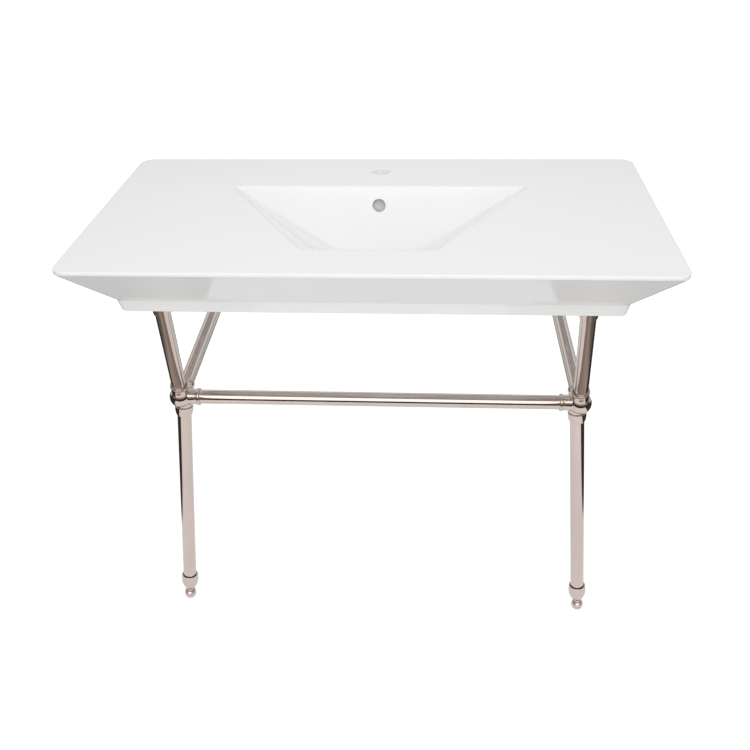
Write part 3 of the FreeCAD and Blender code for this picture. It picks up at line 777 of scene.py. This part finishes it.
def socket_collar(origin, axis):
    """A collar with a narrow waist, a rounded bead and a hollowed mouth at its end."""
    end = SOCKET_START + SEAT
    half = BEAD_LENGTH / 2
    steps = 2 * ROUND_STEPS
    profile = [(0.0, 0.0), (0.0, SOCKET_RADIUS)]
    for step in range(steps):
        share = step / steps
        sunk = WAIST * math.sin(math.pi * share)
        profile.append((lerp(BALL_RADIUS - WAIST, end - BEAD_LENGTH, share), SOCKET_RADIUS - sunk))
    for angle in angles(math.pi, steps):
        raised = (BEAD_RADIUS - SOCKET_RADIUS) * math.sin(angle)
        profile.append((end - half - half * math.cos(angle), SOCKET_RADIUS + raised))
    profile += [(end, TUBE_RADIUS + MOUTH_GAP), (end - MOUTH_DISH, TUBE_RADIUS - MM),
                (end - MOUTH_DISH, 0.0)]
    return lathe("collar", profile, origin, axis)


def bell_collar(origin, axis):
    """The bell-shaped collar between the ball and the lower leg."""
    end = BALL_RADIUS + BELL_LENGTH
    shoulder = BALL_RADIUS - BELL_OVERLAP
    brow = shoulder + BELL_OVERLAP / 2
    steps = 3 * ROUND_STEPS
    whole_fall = 1 - math.sqrt(1 - BELL_CURVE)
    profile = [(0.0, 0.0), (0.0, SOCKET_RADIUS), (shoulder, SOCKET_RADIUS)]
    for angle in angles(QUARTER)[1:]:
        profile.append((brow - (brow - shoulder) * math.cos(angle),
                        SOCKET_RADIUS + (BELL_RADIUS - SOCKET_RADIUS) * math.sin(angle)))
    for step in range(1, steps + 1):
        share = step / steps
        fall = (1 - math.sqrt(1 - share * share * BELL_CURVE)) / whole_fall
        profile.append((lerp(brow, end, share), lerp(BELL_RADIUS, BELL_MOUTH, fall)))
    profile.append((end, 0.0))
    return lathe("bell", profile, origin, axis)


def sockets():
    """Origin, direction and length of each socket of the right-hand casting."""
    plain = SOCKET_START + SEAT
    return [(JOINT, STRUT_AXIS, plain), (JOINT, -X, plain), (JOINT, RAIL_AXIS, plain),
            (LEG_TOP, LEG_AXIS, BALL_RADIUS + BELL_LENGTH)]


def grub_hole(origin, axis, length):
    """A cutter for the set screw on the side of a socket that faces away from the room."""
    away = -Z if axis == RAIL_AXIS else Y
    outward_axis = (away - axis * away.dot(axis)).normalized()
    place = origin + axis * (length - SEAT / 2)
    return cylinder("grub", place, outward_axis, TUBE_RADIUS - MM, BEAD_RADIUS + GRUB_REACH, GRUB_RADIUS)


def make_castings():
    """The ball with its sockets, bored for the tubes and drilled for the set screws."""
    piece = ball("casting", JOINT, BALL_RADIUS)
    for origin, axis, length in sockets():
        collar = bell_collar(origin, axis) if origin == LEG_TOP else socket_collar(origin, axis)
        combine(piece, "UNION", collar)
    for origin, axis, length in sockets():
        bore = cylinder("bore", origin, axis, SOCKET_START, length + MM, TUBE_RADIUS + FIT)
        combine(piece, "DIFFERENCE", bore)
    for socket in sockets():
        combine(piece, "DIFFERENCE", grub_hole(*socket))
    carry_pair(piece, "joint_casting")


def plate_profile(radius, thickness, ease):
    """A round plate whose outer face is at thickness, its far edge rounded."""
    edge_points = [(thickness - rise, radius - inset) for inset, rise in corner_round(ease)]
    return [(0.0, 0.0), (0.0, radius), *edge_points, (thickness, 0.0)]


def screw_angles():
    """Directions of a flange's screws round its middle."""
    return [math.radians(90 + 360 / FLANGE_SCREWS * index) for index in range(FLANGE_SCREWS)]


def countersink(place):
    """A cutter for a countersunk screw hole, from the strut flange's lower face upward."""
    through = STRUT_FLANGE_THICKNESS + MM
    profile = [(-MM, 0.0), (-MM, SCREW_HEAD), (0.0, SCREW_HEAD), (SCREW_HEAD_HEIGHT, SCREW_RADIUS),
               (through, SCREW_RADIUS), (through, 0.0)]
    return lathe("sink", profile, place, Z, phase=OFF_STEP)


def make_strut_flanges():
    """Round plates under the basin with slanted hubs and countersunk holes."""
    face = BAND_BOTTOM - PAD_THICKNESS - STRUT_FLANGE_THICKNESS
    top = face + STRUT_FLANGE_THICKNESS
    centre = Vector((STRUT_TOP.x, STRUT_TOP.y, top))
    piece = lathe("flange", plate_profile(STRUT_FLANGE_RADIUS, STRUT_FLANGE_THICKNESS, EASE), centre, -Z)
    reach = 3 * STRUT_FLANGE_RADIUS
    roof = box_solid("roof", (centre.x - reach, centre.y - reach, top - EASE),
                     (centre.x + reach, centre.y + reach, top + reach))
    add_hub(piece, strut_end(), -STRUT_AXIS, -STRUT_STOP - STRUT_FLANGE_THICKNESS, HUB_LENGTH, roof)
    for angle in screw_angles():
        place = Vector((centre.x + FLANGE_SCREW_CIRCLE * math.cos(angle),
                        centre.y + FLANGE_SCREW_CIRCLE * math.sin(angle), face))
        combine(piece, "DIFFERENCE", countersink(place))
    carry_pair(piece, "strut_flange")


def strut_end():
    """Where the strut stops, a little below the flange's plate."""
    height = BAND_BOTTOM - PAD_THICKNESS - STRUT_FLANGE_THICKNESS - STRUT_STOP
    return JOINT + STRUT_AXIS * ((height - JOINT.z) / STRUT_AXIS.z)


def rail_end():
    """Where the rail stops, a little in front of the wall flange's plate."""
    return RAIL_TOP - RAIL_AXIS * ((WALL_FLANGE_THICKNESS + RAIL_STOP) / RAIL_AXIS.y)


def add_hub(piece, origin, axis, start, end, beyond):
    """Joins a slanted hub, bored for its tube, to a flange, without what lies in the box beyond."""
    profile = [(start, 0.0), (start, SOCKET_RADIUS), (end - EASE, SOCKET_RADIUS),
               (end, SOCKET_RADIUS - EASE), (end, 0.0)]
    combine(piece, "UNION", combine(lathe("hub", profile, origin, axis), "DIFFERENCE", beyond))
    combine(piece, "DIFFERENCE", cylinder("bore", origin, axis, 0, end + MM, TUBE_RADIUS + FIT))


def make_wall_flanges():
    """Round plates on the wall with slanted hubs and open screw holes."""
    plate = plate_profile(WALL_FLANGE_RADIUS, WALL_FLANGE_THICKNESS, WALL_FLANGE_ROUNDING)
    piece = lathe("flange", plate, RAIL_TOP, -Y)
    reach = WALL_FLANGE_THICKNESS + RAIL_STOP + TUBE_RADIUS
    behind = box_solid("behind", RAIL_TOP + Vector((-2 * reach, -MM, -2 * reach)),
                       RAIL_TOP + Vector((2 * reach, 4 * reach, 2 * reach)))
    add_hub(piece, rail_end(), -RAIL_AXIS, -reach, SEAT, behind)
    for angle in screw_angles():
        place = RAIL_TOP + Vector((math.cos(angle), 0, math.sin(angle))) * WALL_HOLE_CIRCLE
        drill = cylinder("drill", place, -Y, -MM, WALL_FLANGE_THICKNESS + MM, WALL_HOLE_RADIUS)
        combine(piece, "DIFFERENCE", drill)
    carry_pair(piece, "wall_flange")


def make_tubes():
    """The stretcher, struts, rails and lower legs."""
    stretcher = tube("stretcher_bar_polished", JOINT, -X, SOCKET_START, 2 * JOINT.x - SOCKET_START)
    carry(stretcher, "stretcher_bar")
    strut_length = (strut_end() - JOINT).length
    carry_pair(tube("strut", JOINT, STRUT_AXIS, SOCKET_START, strut_length), "front_strut")
    rail_length = (rail_end() - JOINT).length
    carry_pair(tube("rail", JOINT, RAIL_AXIS, SOCKET_START, rail_length), "wall_rail")
    leg_end = LEG_LENGTH - CUP_BASE - CUP_FLOOR
    carry_pair(tube("leg", LEG_TOP, LEG_AXIS, SOCKET_START, leg_end), "lower_leg")


def circle_through(first, middle, last, steps):
    """Points on the arc through three (along, radius) points."""
    (ax, ay), (bx, by), (cx, cy) = first, middle, last
    a, b, c = (ax * ax + ay * ay, bx * bx + by * by, cx * cx + cy * cy)
    double = 2 * (ax * (by - cy) + bx * (cy - ay) + cx * (ay - by))
    x = (a * (by - cy) + b * (cy - ay) + c * (ay - by)) / double
    y = (a * (cx - bx) + b * (ax - cx) + c * (bx - ax)) / double
    radius = math.hypot(ax - x, ay - y)
    start = math.atan2(ay - y, ax - x)
    sweep = math.atan2(cy - y, cx - x) - start
    points = []
    for angle in angles(sweep, steps):
        points.append((x + radius * math.cos(start + angle), y + radius * math.sin(start + angle)))
    return points


def make_foot_cups():
    """Bulging cups on the legs' lower ends, each with an open ring round the tube."""
    top = CUP_BASE + CUP_HEIGHT
    floor = CUP_BASE + CUP_FLOOR
    belly = CUP_BASE + CUP_HEIGHT * CUP_BULGE_SHARE
    half_lip = (CUP_RIM_RADIUS - CUP_MOUTH_RADIUS) / 2
    lip_radius = (CUP_RIM_RADIUS + CUP_MOUTH_RADIUS) / 2
    profile = [(CUP_BASE, STUD_RADIUS + FIT)]
    profile += circle_through((CUP_BASE, CUP_BASE_RADIUS), (belly, CUP_BULGE_RADIUS),
                              (top - half_lip, CUP_RIM_RADIUS), 4 * ROUND_STEPS)
    for angle in angles(math.pi)[1:]:
        profile.append((top - half_lip + half_lip * math.sin(angle),
                        lip_radius + half_lip * math.cos(angle)))
    profile += [(top - CUP_MOUTH_DEPTH, CUP_MOUTH_RADIUS), (top - CUP_MOUTH_DEPTH, TUBE_RADIUS + FIT),
                (floor, TUBE_RADIUS + FIT), (floor, STUD_RADIUS + FIT)]
    carry_pair(ring_lathe("cup", profile, FOOT_POINT, -LEG_AXIS), "foot_cup")


def make_foot_balls():
    """Levelling feet: ball, neck set in a groove, and stud, cut flat at the floor."""
    opening = math.asin((NECK_RADIUS + NECK_GROOVE) / FOOT_BALL_RADIUS)
    profile = []
    for angle in angles(math.pi - opening, 6 * ROUND_STEPS):
        profile.append((FOOT_BALL_CENTRE - FOOT_BALL_RADIUS * math.cos(angle),
                        FOOT_BALL_RADIUS * math.sin(angle)))
    rim = profile[-1][0]
    stud_end = NECK_TOP + STUD_LENGTH
    profile += [(rim - 2 * NECK_GROOVE, NECK_RADIUS), (NECK_TOP - EASE, NECK_RADIUS),
                (NECK_TOP, NECK_RADIUS - EASE), (NECK_TOP, STUD_RADIUS),
                (stud_end - EASE, STUD_RADIUS), (stud_end, STUD_RADIUS - EASE), (stud_end, 0.0)]
    piece = lathe("foot", profile, FOOT_POINT, -LEG_AXIS)
    reach = 4 * FOOT_BALL_RADIUS
    floor = box_solid("floor_cut", FOOT_POINT - Vector((reach, reach, reach)),
                      FOOT_POINT + Vector((reach, reach, 0)))
    combine(piece, "DIFFERENCE", floor)
    carry_pair(piece, "foot_ball", "foot")


def make_stand():
    """Every polished piece under the basin."""
    make_tubes()
    make_castings()
    make_strut_flanges()
    make_wall_flanges()
    make_foot_cups()
    make_foot_balls()


def dress_hidden_parts():
    """Pads, bushes and screws keep their CAD shapes and get their own surfaces."""
    surfaces = {"strut_pad": RUBBER, "leg_insert": BRASS, "screws": STEEL}
    for node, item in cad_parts.items():
        for ending, surface in surfaces.items():
            if node.endswith(ending):
                item.data.materials.clear()
                item.data.materials.append(surface)


# ------------ stage, lights, camera

FLOOR_REACH = 40.0
GLOW_TO_CAMERA = 0.5
GLOW_TO_MIRRORS = 0.2
PAPER_LEFT = 0.76
PAPER_RIGHT = 0.84
PAPER_FRONT = 1.2
PAPER_FLARE = 0.6              # how fast the paper widens towards the camera
PAPER_BACK = 0.5
PAPER_SOFTNESS = 0.03
WALL_FOOT = 1.35               # where the dark sides end and the pale back of the room begins
DARK_ROOM = (0.05, 0.041, 0.034)
PALE_ROOM = (0.67, 0.73, 0.71)


def math_node(tree, operation, first, second):
    """A math node on two values or sockets."""
    node = tree.nodes.new("ShaderNodeMath")
    node.operation = operation
    for index, value in enumerate((first, second)):
        if isinstance(value, (int, float)):
            node.inputs[index].default_value = value
        else:
            tree.links.new(value, node.inputs[index])
    return node.outputs[0]


def times(tree, first, second):
    """The product of two values or sockets."""
    return math_node(tree, "MULTIPLY", first, second)


def higher(tree, first, second):
    """The higher of two values or sockets."""
    return math_node(tree, "MAXIMUM", first, second)


def edge(tree, source, place, softness):
    """A smooth step from 0 to 1 as source passes place."""
    node = tree.nodes.new("ShaderNodeMapRange")
    node.interpolation_type = "SMOOTHSTEP"
    node.inputs["From Min"].default_value = place - softness
    node.inputs["From Max"].default_value = place + softness
    tree.links.new(source, node.inputs["Value"])
    return node.outputs["Result"]


def falling(tree, source, place, softness):
    """A smooth step from 1 to 0 as source passes place."""
    return edge(tree, times(tree, source, -1.0), -place, softness)


def split(tree, coordinates="Object"):
    """X, Y and Z of a texture coordinate, as sockets."""
    place = tree.nodes.new("ShaderNodeTexCoord")
    parts = tree.nodes.new("ShaderNodeSeparateXYZ")
    tree.links.new(place.outputs[coordinates], parts.inputs[0])
    return parts.outputs


def emission(tree, colour):
    """A surface that glows evenly in one colour."""
    glow = tree.nodes.new("ShaderNodeEmission")
    glow.inputs["Color"].default_value = (*colour, 1)
    return glow.outputs[0]


def mix_surfaces(tree, share, first, second):
    """The first surface where share is 0, the second where it is 1."""
    node = tree.nodes.new("ShaderNodeMixShader")
    tree.links.new(share, node.inputs["Fac"])
    tree.links.new(first, node.inputs[1])
    tree.links.new(second, node.inputs[2])
    return node.outputs[0]


def paper(tree, shader, path):
    """Matt white paper, with a glow for the camera and for mirrors that lights nothing else."""
    paint(tree, shader, noise(tree, scale=3.0, detail=2.0), low=(0.79, 0.79, 0.79), high=(0.82, 0.82, 0.82))
    shader.inputs["Roughness"].default_value = 0.9
    shader.inputs["Specular IOR Level"].default_value = 0.0
    to_camera = times(tree, path.outputs["Is Camera Ray"], GLOW_TO_CAMERA)
    to_mirrors = times(tree, path.outputs["Is Glossy Ray"], GLOW_TO_MIRRORS)
    glow = tree.nodes.new("ShaderNodeEmission")
    tree.links.new(math_node(tree, "ADD", to_camera, to_mirrors), glow.inputs["Strength"])
    node = tree.nodes.new("ShaderNodeAddShader")
    tree.links.new(shader.outputs[0], node.inputs[0])
    tree.links.new(glow.outputs[0], node.inputs[1])
    return node.outputs[0]


def off_paper(tree, x, y):
    """1 beside and before the paper, 0 on it and beyond the foot of the room's back wall."""
    flare = times(tree, y, PAPER_FLARE)
    to_right = math_node(tree, "ADD", x, flare)
    to_left = math_node(tree, "SUBTRACT", flare, x)
    aside = higher(tree, edge(tree, to_right, PAPER_RIGHT, PAPER_SOFTNESS),
                   edge(tree, to_left, PAPER_LEFT, PAPER_SOFTNESS))
    nearer = falling(tree, y, -PAPER_FRONT, 0.05)
    before_wall = falling(tree, y, WALL_FOOT, 0.1)
    return times(tree, before_wall, higher(tree, aside, nearer))


def make_floor():
    """A white paper floor; mirrors also see the dark room round it and the pale floor behind it."""
    corners = [(-FLOOR_REACH, -FLOOR_REACH, 0), (FLOOR_REACH, -FLOOR_REACH, 0),
               (FLOOR_REACH, FLOOR_REACH, 0), (-FLOOR_REACH, FLOOR_REACH, 0)]
    floor = mesh_object("floor", corners, [(0, 1, 2, 3)])
    material, tree, shader = new_material("paper_floor")
    path = tree.nodes.new("ShaderNodeLightPath")
    in_mirrors = path.outputs["Is Glossy Ray"]
    x, y, z = split(tree)
    behind = times(tree, edge(tree, y, PAPER_BACK, 0.15), in_mirrors)
    surface = mix_surfaces(tree, behind, paper(tree, shader, path), emission(tree, PALE_ROOM))
    dark = times(tree, off_paper(tree, x, y), in_mirrors)
    surface = mix_surfaces(tree, dark, surface, emission(tree, DARK_ROOM))
    tree.links.new(surface, tree.nodes["Material Output"].inputs["Surface"])
    floor.data.materials.append(material)


# Painted dark reflections: cards that glow in brown tones and that only mirrors see, so that the nickel
# shows dark stripes. The tones are (place across x, colour), from inner to outer.
PAINTED_REFLECTION_HEIGHT = 0.53
PAINTED_REFLECTION_OUTLINE = ((0.355, -0.062), (0.29, -0.22), (0.24, -0.5), (0.75, -0.5), (0.75, -0.062))
PAINTED_REFLECTION_TONES = ((0.36, (0.25, 0.215, 0.19)), (0.43, (0.38, 0.335, 0.30)), (0.52, (0.12, 0.10, 0.085)))


def make_painted_reflection_cards():
    """Two glowing brown cards beside the stand that only mirrors see: a painted dark reflection in the
    nickel, darker towards the outside.
    """
    material, tree, shader = new_material("painted_dark_reflection")
    shader.inputs["Base Color"].default_value = (0, 0, 0, 1)
    x, y, z = split(tree)
    (start, inner), (middle, between), (end, outer) = PAINTED_REFLECTION_TONES
    # painted reflection tone, darkest at the cards' outer ends
    tone = ramp(tree, math_node(tree, "ABSOLUTE", x, 0.0), inner, outer, start, end)
    tone.color_ramp.elements.new(middle).color = (*between, 1)
    tree.links.new(tone.outputs["Color"], shader.inputs["Emission Color"])
    shader.inputs["Emission Strength"].default_value = 1.0
    for side in (-1, 1):
        points = [(side * aside, along, PAINTED_REFLECTION_HEIGHT) for aside, along in PAINTED_REFLECTION_OUTLINE]
        card = mesh_object("painted_reflection_card", points, [tuple(range(len(points)))])
        card.data.materials.append(material)
        card.visible_camera = False
        card.visible_diffuse = False
        card.visible_shadow = False
        card.visible_transmission = False


# The room: levels, and edges as (place, softness) along a direction's x, y or z
BACKDROP_LOW = 0.5
BACKDROP_LEVEL = 0.9
BACKDROP_FRONT = (0.05, 0.08)
BACKDROP_RISE = (0.27, 0.12)
BACKDROP_TOP = (0.58, 0.06)
SOFTBOX_LEVEL = 1.7
SOFTBOX_BACK = (-0.1, 0.02)
SOFTBOX_LOW = (0.05, 0.03)
SOFTBOX_HIGH = (0.74, 0.03)
SOFTBOX_SIDE = (0.5, 0.03)
CEILING_LEVEL = 0.7
CEILING_START = (0.86, 0.04)
SIDE_LEVEL = 0.85
SIDE_START = (0.55, 0.08)
SIDE_LOW = (0.25, 0.1)
PLAIN_LEVEL = 0.73             # the even light, which mirrors and the camera don't see


def backdrop(tree, y, z):
    """The pale backdrop behind the basin, brighter higher up and dimmer above its top."""
    rise = times(tree, edge(tree, z, *BACKDROP_RISE), BACKDROP_LEVEL - BACKDROP_LOW)
    over = times(tree, edge(tree, z, *BACKDROP_TOP), -BACKDROP_LOW)
    height = math_node(tree, "ADD", math_node(tree, "ADD", rise, BACKDROP_LOW), over)
    return times(tree, edge(tree, y, *BACKDROP_FRONT), height)


def softbox(tree, x, y, z):
    """The bright box in front of the basin; x is the distance from the middle."""
    low_and_front = times(tree, falling(tree, y, *SOFTBOX_BACK), edge(tree, z, *SOFTBOX_LOW))
    high_and_sides = times(tree, falling(tree, z, *SOFTBOX_HIGH), falling(tree, x, *SOFTBOX_SIDE))
    box = times(tree, low_and_front, high_and_sides)
    return times(tree, box, SOFTBOX_LEVEL)


def make_world():
    """Even light all round; mirrors see a dark studio with a backdrop, a softbox, pale sides and ceiling."""
    world = bpy.data.worlds.new("studio")
    bpy.context.scene.world = world
    world.use_nodes = True
    tree = world.node_tree
    x, y, z = split(tree, "Generated")
    aside = math_node(tree, "ABSOLUTE", x, 0.0)
    level = higher(tree, backdrop(tree, y, z), softbox(tree, aside, y, z))
    level = higher(tree, level, times(tree, edge(tree, z, *CEILING_START), CEILING_LEVEL))
    sides = times(tree, edge(tree, aside, *SIDE_START), edge(tree, z, *SIDE_LOW))
    level = higher(tree, level, times(tree, sides, SIDE_LEVEL))
    level = higher(tree, level, sum(DARK_ROOM) / len(DARK_ROOM))
    path = tree.nodes.new("ShaderNodeLightPath")
    chosen = tree.nodes.new("ShaderNodeMix")
    tree.links.new(path.outputs["Is Glossy Ray"], chosen.inputs["Factor"])
    chosen.inputs["A"].default_value = PLAIN_LEVEL
    tree.links.new(level, chosen.inputs["B"])
    whole = higher(tree, chosen.outputs["Result"], path.outputs["Is Camera Ray"])
    background = tree.nodes["Background"]
    tree.links.new(whole, background.inputs["Strength"])
    background.inputs["Color"].default_value = (1, 1, 1, 1)


FRONT_LAMP_WIDTH = 2.4
FRONT_LAMP_DEPTH = 1.4
FRONT_LAMP_ENERGY = 24
FRONT_LAMP_PLACE = Vector((0.28, -2.24, 2.5))
FRONT_LAMP_TARGET = Vector((0, 0, 0.8))
BOWL_LAMP_ENERGY = 22
BOWL_LAMP_CONE = math.radians(17)
BOWL_LAMP_SIZE = 0.3
BOWL_LAMP_PLACE = Vector((0.1, -2.0, 2.15))
BOWL_LAMP_TARGET = Vector((0, 0.2, DECK_Z))


def place_lamp(data, place, target):
    """Sets a lamp in its place, aimed at a target and unseen by mirrors and the camera."""
    lamp = bpy.data.objects.new(data.name, data)
    bpy.context.scene.collection.objects.link(lamp)
    lamp.location = place
    lamp.rotation_euler = (target - place).to_track_quat("-Z", "Y").to_euler()
    lamp.visible_glossy = False
    lamp.visible_camera = False


def make_front_lamp():
    """A broad soft lamp in front and above, that brightens the faces turned to the room."""
    data = bpy.data.lights.new("front_lamp", "AREA")
    data.shape = "RECTANGLE"
    data.size = FRONT_LAMP_WIDTH
    data.size_y = FRONT_LAMP_DEPTH
    data.energy = FRONT_LAMP_ENERGY
    place_lamp(data, FRONT_LAMP_PLACE, FRONT_LAMP_TARGET)


def make_bowl_lamp():
    """A narrow soft lamp aimed at the back of the bowl."""
    data = bpy.data.lights.new("bowl_lamp", "SPOT")
    data.energy = BOWL_LAMP_ENERGY
    data.spot_size = BOWL_LAMP_CONE
    data.spot_blend = 1.0
    data.shadow_soft_size = BOWL_LAMP_SIZE
    place_lamp(data, BOWL_LAMP_PLACE, BOWL_LAMP_TARGET)


CAMERA_PLACE = Vector((0.109, -1.593, 1.511))
CAMERA_PITCH = 0.541
CAMERA_YAW = 0.075
CAMERA_ROLL = -0.024
CAMERA_SENSOR = 36
CAMERA_LENS = 45.07
CAMERA_SHIFT = 0.0024


def make_camera():
    """The photograph's view, as fitted to the deck's corners and the stand's joints."""
    right = Vector((math.cos(CAMERA_YAW), math.sin(CAMERA_YAW), 0))
    level = Vector((-math.sin(CAMERA_YAW), math.cos(CAMERA_YAW), 0))
    forward = level * math.cos(CAMERA_PITCH) - Z * math.sin(CAMERA_PITCH)
    up = level * math.sin(CAMERA_PITCH) + Z * math.cos(CAMERA_PITCH)
    right_rolled = right * math.cos(CAMERA_ROLL) + up * math.sin(CAMERA_ROLL)
    up_rolled = up * math.cos(CAMERA_ROLL) - right * math.sin(CAMERA_ROLL)
    data = bpy.data.cameras.new("camera")
    data.sensor_width = CAMERA_SENSOR
    data.lens = CAMERA_LENS
    data.shift_x = CAMERA_SHIFT
    camera = bpy.data.objects.new("camera", data)
    bpy.context.scene.collection.objects.link(camera)
    rows = zip(right_rolled, up_rolled, -forward, CAMERA_PLACE)
    camera.matrix_world = Matrix((*rows, (0, 0, 0, 1)))
    bpy.context.scene.camera = camera


make_basin()
make_stand()
dress_hidden_parts()
make_floor()
make_painted_reflection_cards()
make_world()
make_front_lamp()
make_bowl_lamp()
make_camera()
bpy.context.scene.view_settings.view_transform = "Standard"
